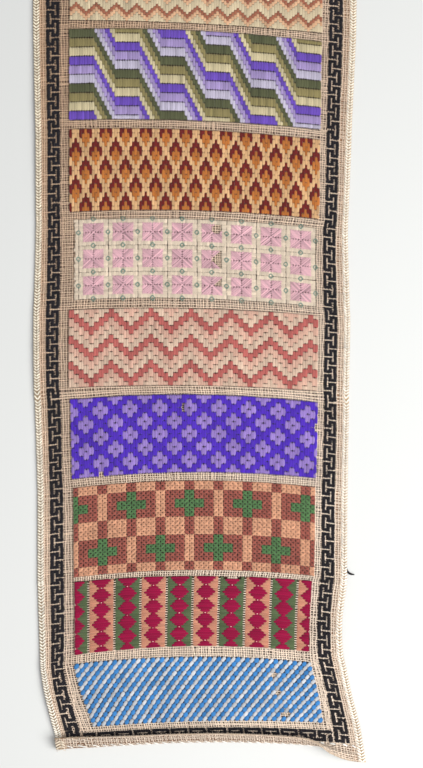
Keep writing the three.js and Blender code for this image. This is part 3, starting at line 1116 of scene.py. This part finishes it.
# Diamonds band: level stitches, magenta diamonds in chains down stripes of green and peach,
# with a canvas thread showing between the rows where two stripes meet.
diamonds_yarns = {
    "magenta": yarn("wool magenta", (142, 4, 57), sheen=0.12),
    "green": yarn("wool sage", (80, 95, 63)),
    "peach": yarn("wool peach", (190, 130, 105)),
    "canvas": cotton,
}
STRIPE = 11
STRIPES = 10
STRIPE_ROWS = 30
STRIPE_GAP = 0.3
UNDERLAP = 0.5
DIAMOND_WIDTHS = (8.2, 6.3, 4.3, 2.2, 4.3, 6.3)
DIAMOND_ROWS = len(DIAMOND_WIDTHS)
ground_marks, magenta_marks, thread_marks, speck_marks = [], [], [], []
for r in range(STRIPE_ROWS):
    for k in range(STRIPES):
        middle = STRIPE * k + 0.5
        half = DIAMOND_WIDTHS[r % DIAMOND_ROWS] / 2
        ground = "peach" if k % 2 else "green"
        left = max(middle - STRIPE / 2 + STRIPE_GAP, 0)
        right = min(middle + STRIPE / 2 - STRIPE_GAP, BAND_WIDE)
        inner = half - UNDERLAP
        if middle - inner - left > 0.5:
            ground_marks.append((ground, left, r + 0.5, middle - inner, r + 0.5))
        if right - middle - inner > 0.5:
            ground_marks.append((ground, middle + inner, r + 0.5, right, r + 0.5))
        start = max(middle - half, 0)
        end = min(middle + half, BAND_WIDE)
        magenta_marks.append(("magenta", start, r + 0.5, end, r + 0.5))
        if k < STRIPES - 1:
            seam = middle + STRIPE / 2
            thread_marks.append(("canvas", seam - 0.7, r + 1.0, seam + 0.7, r + 1.0))
        if r % DIAMOND_ROWS == DIAMOND_ROWS // 2:
            speck_marks.append(("canvas", middle - 0.28, r + 0.5, middle + 0.28, r + 0.5))
stitches = worked("diamonds", ground_marks, wide=0.8, tall=0.8, taper=0.6, tip=0.4)
stitches += worked("diamonds", magenta_marks, wide=0.84, tall=0.95, floor=0.95, taper=1.0, tip=0.25)
stitches += worked("diamonds", thread_marks, wide=0.27, tall=0.6, floor=0.9)
stitches += worked("diamonds", speck_marks[1:], wide=0.3, tall=0.3, floor=1.65)
diamonds = sew("diamonds_band", diamonds_yarns, stitches, 28)

# Checks band: slanting stitches over two threads in blue and grey-white by turns, so that
# each colour runs in ropes up to the right.
checks_yarns = {
    "blue": yarn("wool sky blue", (56, 123, 186)),
    "white": yarn("wool grey white", (191, 193, 198)),
}
CHECK = 2
CHECK_ROWS = 14
blue_marks, white_marks = [], []
for c in range(BAND_WIDE // CHECK):
    for r in range(CHECK_ROWS):
        start = (CHECK * c, CHECK * (r + 1))
        end = (CHECK * (c + 1), CHECK * r)
        if (c + r) % 2:
            white_marks.append(("white", *start, *end))
        else:
            blue_marks.append(("blue", *start, *end))
stitches = worked("checks", white_marks, wide=1.04, tall=0.9, taper=0.6, tip=0.62)
stitches += worked("checks", blue_marks, wide=1.28, tall=0.98, taper=0.95, tip=0.48)
checks = sew("checks_band", checks_yarns, stitches, 29)

# Key border: a black key pattern five stitches wide down both sides and across both ends, in
# small wool crosses of about one thread each.
key_yarns = {"black": yarn("wool black", (30, 27, 32), unevenness=0.2, sheen=0.12)}
# Stitches that are worked in each row of the repeat
KEY_ROWS = ((0,), (0, 2, 3, 4), (0, 2, 4), (0, 1, 2, 4), (4,), (0, 1, 2, 4), (0, 2, 4), (0, 2, 3, 4))
KEY_REPEAT = len(KEY_ROWS)
KEY_CELL = 0.9
KEY_NUDGE = 0.05
KEY_SPILL = 0.12
KEY_HALF = 0.6
KEY_TAPER = 0.36
cells = []
for row in range(TOP_HEM, FOOT_HEM):
    for first_column in (LEFT_KEY + KEY_NUDGE, RIGHT_KEY - KEY_NUDGE):
        for k in KEY_ROWS[row % KEY_REPEAT]:
            cells.append((first_column + KEY_CELL * k, row, KEY_CELL))
for column in np.arange(LEFT_KEY + KEY_WIDE + 1, RIGHT_KEY - 1):
    for k in KEY_ROWS[int(column - LEFT_KEY - KEY_WIDE) % KEY_REPEAT]:
        cells.append((column, TOP_HEM + k, 1.0))
        cells.append((column, FOOT_KEY + k, 1.0))
stitches = []
for column, row, cell in cells:
    left, right = column - KEY_SPILL, column + cell + KEY_SPILL
    top, foot = row - KEY_SPILL, row + 1 + KEY_SPILL
    stitches.append(("black", left, top, right, foot, KEY_HALF, 0.5, 0.8, KEY_TAPER, 1.0))
    stitches.append(("black", left, foot, right, top, KEY_HALF, 0.5, 1.0, KEY_TAPER, 1.0))
key_border = sew("key_border", key_yarns, stitches, 31, astray=0.09, ends_only=True)

# Loose yarn end: a short tail of the black wool that has come out at the right edge and lies on
# the table.
TAIL_PLAN = ((84.8, -138.8, 1.8), (86.0, -141.3, 1.3), (87.6, -142.7, 0.8), (90.0, -143.2, 0.6))
TAIL_THICK = 0.62
curve = bpy.data.curves.new("loose_yarn_end", "CURVE")
curve.dimensions = "3D"
curve.bevel_depth = TAIL_THICK * MM
curve.bevel_resolution = 2
curve.use_fill_caps = True
line = curve.splines.new("BEZIER")
line.bezier_points.add(len(TAIL_PLAN) - 1)
for point, place in zip(line.bezier_points, TAIL_PLAN):
    point.co = [value * MM for value in place]
    point.handle_left_type = "AUTO"
    point.handle_right_type = "AUTO"
line.bezier_points[-1].radius = 0.5
curve.materials.append(key_yarns["black"])
loose_yarn_end = bpy.data.objects.new("loose_yarn_end", curve)
scene.collection.objects.link(loose_yarn_end)
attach(loose_yarn_end, "root")

# Plaited edges: cream cotton sewn over both side edges of the canvas, from end to end, in a plait
# of slanting stitches that meet along its middle.
# The plait's cotton is painted lighter towards the foot and right, as painted light.
plait_yarns = {"cream": yarn("cotton cream", (251, 240, 217), 3.0, 0.08, foot=(254, 248, 237))}
PLAIT_TALL = 0.95
PLAIT_HALF = 0.45
PLAIT_FALL = 1.25
PLAIT_PITCH = 1.28


def plait(rows, floor, wide=PLAIT_WIDE):
    """Stitches of both edges' plaits, in slanting pairs that start on given rows."""
    out = []
    for row in rows:
        for outer, inner in ((0.0, wide), (CLOTH_WIDE, CLOTH_WIDE - wide)):
            middle = (outer + inner) / 2
            foot = row + PLAIT_FALL
            for side_column in (outer, inner):
                size = (PLAIT_HALF, PLAIT_TALL, floor, BAR_TAPER, BAR_TIP)
                out.append(("cream", side_column, row, middle, foot, *size))
    return out


starts = np.arange(0, FOOT_EDGE - PLAIT_FALL, PLAIT_PITCH)
plaited_edges = sew("plaited_edges", plait_yarns, plait(starts, 0.6), 32)

# Hem stitches: slanting cotton stitches that hold the foot hem down, and the plait's end. They
# show on the hem's back where it has curled over, and as ticks on the face where it lies flat.
hem_yarns = {
    "cream": yarn("hem plait cotton", (238, 222, 199), 3.0, 0.08),
    "white": yarn("sewing cotton", (255, 252, 246), 3.0, 0.08),
}
HEM_PLAIT_WIDE = 3.8
SLANT_FROM = 384.2
SLANT_TO = 383.2
SLANT_LONG = 2.4
TICK_FROM = 381.0
TICK_TO = 381.9
TICK_LONG = 1.7
starts = np.arange(FOOT_HEM + 2, FOOT_EDGE - PLAIT_FALL, PLAIT_PITCH)
stitches = plait(starts, HEM_LAYER - 0.3, HEM_PLAIT_WIDE)
size = (0.3, 0.3, HEM_LAYER - 0.1, BAR_TAPER, BAR_TIP)
for column in np.arange(5.0, 110.0, 3.7):
    stitches.append(("white", column, SLANT_FROM, column + SLANT_LONG, SLANT_TO, *size))
hem_stitches = sew("hem_stitches", hem_yarns, stitches, 33, side=-1)
ticks = []
size = (0.42, 0.5, 1.05, BAR_TAPER, BAR_TIP)
for column in np.arange(111.0, 122.0, 3.6):
    ticks.append(("white", column, TICK_FROM, column + TICK_LONG, TICK_TO, *size))
hem_ticks = sew("hem_ticks", hem_yarns, ticks, 35)
